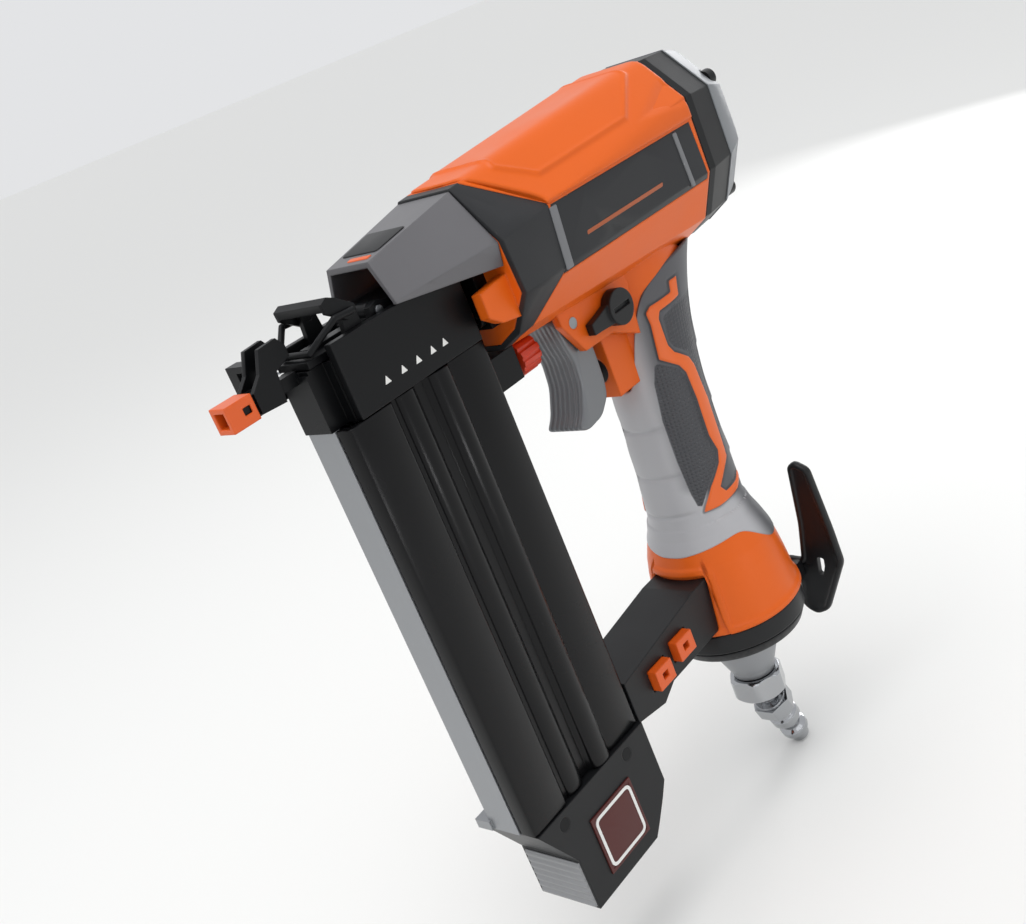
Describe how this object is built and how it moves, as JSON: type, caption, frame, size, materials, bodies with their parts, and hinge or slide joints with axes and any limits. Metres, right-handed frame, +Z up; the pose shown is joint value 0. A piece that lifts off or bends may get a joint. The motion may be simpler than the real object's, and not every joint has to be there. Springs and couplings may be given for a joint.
{
  "type": "pneumatic brad nailer",
  "caption": "Pneumatic 18-gauge brad nailer with slanted-ended barrel body, rubber grip, side-opening magazine, swivelling air plug and belt hook.",
  "frame": {"origin": "centre of the front face of the no-mar tip, on the drive axis", "axes": "+Z is up, the nose points along -Y, +X is the tool's left side"},
  "size_m": [0.0643, 0.238, 0.2848],
  "materials": {
    "orange_coat": "powder coat, satin",
    "charcoal": "fine grain",
    "grey_shroud": "fine grain",
    "black_moulded": "fine grain",
    "grey_cap": "satin coat",
    "black_steel": "black oxide",
    "bare_aluminium": "satin",
    "seal_rubber": "matt",
    "tool_steel": "ground",
    "grip_rubber": "matt overmould",
    "filter_felt": "pressed felt",
    "chrome_plate": "polished",
    "grey_cast": "satin metallic",
    "orange_moulded": "soft gloss",
    "red_moulded": "soft gloss",
    "black_anodised": "black anodised",
    "badge_red": "printed badge, bare"
  },
  "bodies": {
    "tool": {"body_housing": "orange_coat", "front_collar": "charcoal", "side_panel_left": "charcoal", "side_panel_right": "charcoal", "nose_shroud": "grey_shroud", "rear_gasket": "seal_rubber", "rear_ring": "black_moulded", "rear_cap": "grey_cap", "cap_screws": "black_steel", "cylinder_sleeve": "bare_aluminium", "sleeve_seals": "seal_rubber", "bumper": "seal_rubber", "head_valve_spring": "tool_steel", "grip_sleeve": "grip_rubber", "handle_end_cap": "black_moulded", "end_cap_screws": "black_steel", "air_filter": "filter_felt", "inlet_bushing": "bare_aluminium", "trigger_pin": "tool_steel", "trigger_spring": "tool_steel", "trigger_valve_body": "black_moulded", "valve_seals": "seal_rubber", "valve_spring": "tool_steel", "nose_body": "black_steel", "nose_screws": "black_steel", "nose_side_plates": "black_steel", "gate_hinge_pin": "tool_steel", "contact_spring": "tool_steel", "magazine_rail": "bare_aluminium", "magazine_bracket": "black_moulded", "bracket_screws": "black_steel"},
    "piston": {"piston": "bare_aluminium", "piston_o_ring": "seal_rubber", "driver_blade": "tool_steel"},
    "head_valve": {"head_valve": "black_moulded", "head_valve_seal": "seal_rubber"},
    "trigger": {"trigger": "grey_cast"},
    "valve_stem": {"valve_stem": "tool_steel"},
    "mode_selector": {"mode_selector": "black_moulded"},
    "work_contact": {"work_contact_arm": "black_steel"},
    "no_mar_tip": {"no_mar_tip": "orange_moulded"},
    "depth_wheel": {"depth_wheel": "red_moulded"},
    "jam_latch": {"latch_bail": "black_steel", "latch_lever": "black_steel"},
    "nose_gate": {"nose_gate": "black_steel"},
    "magazine_cover": {"magazine_cover": "black_anodised", "magazine_end_cap": "black_moulded", "cover_screws": "black_steel", "label_plate": "badge_red", "latch_pin": "tool_steel", "latch_spring": "tool_steel"},
    "pusher": {"pusher": "tool_steel", "pusher_spring": "tool_steel"},
    "magazine_latch": {"magazine_latch": "orange_moulded"},
    "belt_hook": {"belt_hook": "black_moulded"},
    "swivel": {"swivel_body": "chrome_plate"},
    "air_plug": {"air_plug": "chrome_plate"},
    "spare_tip_front": {"spare_tip_front": "orange_moulded"},
    "spare_tip_rear": {"spare_tip_rear": "orange_moulded"}
  },
  "joints": [
    {"name": "drive_stroke", "type": "slide", "parent": "tool", "child": "piston", "axis": [0, -1, 0], "range_m": [0, 0.08]},
    {"name": "head_valve_lift", "type": "slide", "parent": "tool", "child": "head_valve", "axis": [0, 1, 0], "range_m": [0, 0.004], "stiffness_N_per_m": 2000, "springref_m": -0.004, "deforming": ["head_valve_spring"]},
    {"name": "trigger_pull", "type": "hinge", "parent": "tool", "child": "trigger", "pos_m": [0, 0.1293, -0.0314], "axis": [1, 0, 0], "range_deg": [0, 10], "stiffness_Nm_per_rad": 0.4, "springref_deg": -14.32},
    {"name": "valve_press", "type": "slide", "parent": "tool", "child": "valve_stem", "axis": [0, 1, 0], "range_m": [0, 0.0045], "stiffness_N_per_m": 15, "springref_m": -0.004, "deforming": ["valve_spring"]},
    {"name": "mode_turn", "type": "hinge", "parent": "tool", "child": "mode_selector", "pos_m": [0.012, 0.1504, -0.0352], "axis": [1, 0, 0], "range_deg": [0, 70]},
    {"name": "contact_press", "type": "slide", "parent": "tool", "child": "work_contact", "axis": [0, 1, 0], "range_m": [0, 0.007], "stiffness_N_per_m": 350, "springref_m": -0.008, "deforming": ["contact_spring"]},
    {"name": "tip_pull_off", "type": "slide", "parent": "work_contact", "child": "no_mar_tip", "axis": [0, -1, 0], "range_m": [0, 0.012]},
    {"name": "depth_turn", "type": "hinge", "parent": "work_contact", "child": "depth_wheel", "pos_m": [0, 0.111, -0.034], "axis": [0, 1, 0], "range_deg": [-180, 180]},
    {"name": "latch_open", "type": "hinge", "parent": "tool", "child": "jam_latch", "pos_m": [0, 0.046, 0.011], "axis": [-1, 0, 0], "range_deg": [0, 100]},
    {"name": "gate_open", "type": "hinge", "parent": "tool", "child": "nose_gate", "pos_m": [0, 0.0575, 0.0062], "axis": [-1, 0, 0], "range_deg": [0, 50]},
    {"name": "magazine_slide", "type": "slide", "parent": "tool", "child": "magazine_cover", "axis": [0, 0, -1], "range_m": [0, 0.125]},
    {"name": "pusher_slide", "type": "slide", "parent": "magazine_cover", "child": "pusher", "axis": [0, 0, -1], "range_m": [0, 0.11], "stiffness_N_per_m": 6, "springref_m": -0.35},
    {"name": "magazine_release", "type": "hinge", "parent": "magazine_cover", "child": "magazine_latch", "pos_m": [0, 0.0864, -0.182], "axis": [-1, 0, 0], "range_deg": [0, 10], "stiffness_Nm_per_rad": 0.3, "springref_deg": -11.46, "deforming": ["latch_spring"]},
    {"name": "hook_turn", "type": "hinge", "parent": "tool", "child": "belt_hook", "pos_m": [0, 0.1705, -0.174], "axis": [0, 0, 1], "range_deg": [-90, 150]},
    {"name": "swivel_turn", "type": "hinge", "parent": "tool", "child": "swivel", "pos_m": [0, 0.1705, -0.195], "axis": [0, 0, 1], "continuous": true},
    {"name": "plug_tilt", "type": "hinge", "parent": "swivel", "child": "air_plug", "pos_m": [0, 0.1705, -0.213], "axis": [1, 0, 0], "range_deg": [-44, 0]},
    {"name": "spare_front_off", "type": "slide", "parent": "tool", "child": "spare_tip_front", "axis": [1, 0, 0], "range_m": [0, 0.012]},
    {"name": "spare_rear_off", "type": "slide", "parent": "tool", "child": "spare_tip_rear", "axis": [1, 0, 0], "range_m": [0, 0.012]}
  ],
  "couplings": [
    {"joint": "valve_press", "follows": "trigger_pull", "m_per_rad": 0.0246},
    {"joint": "gate_open", "follows": "latch_open", "ratio": 0.5}
  ]
}
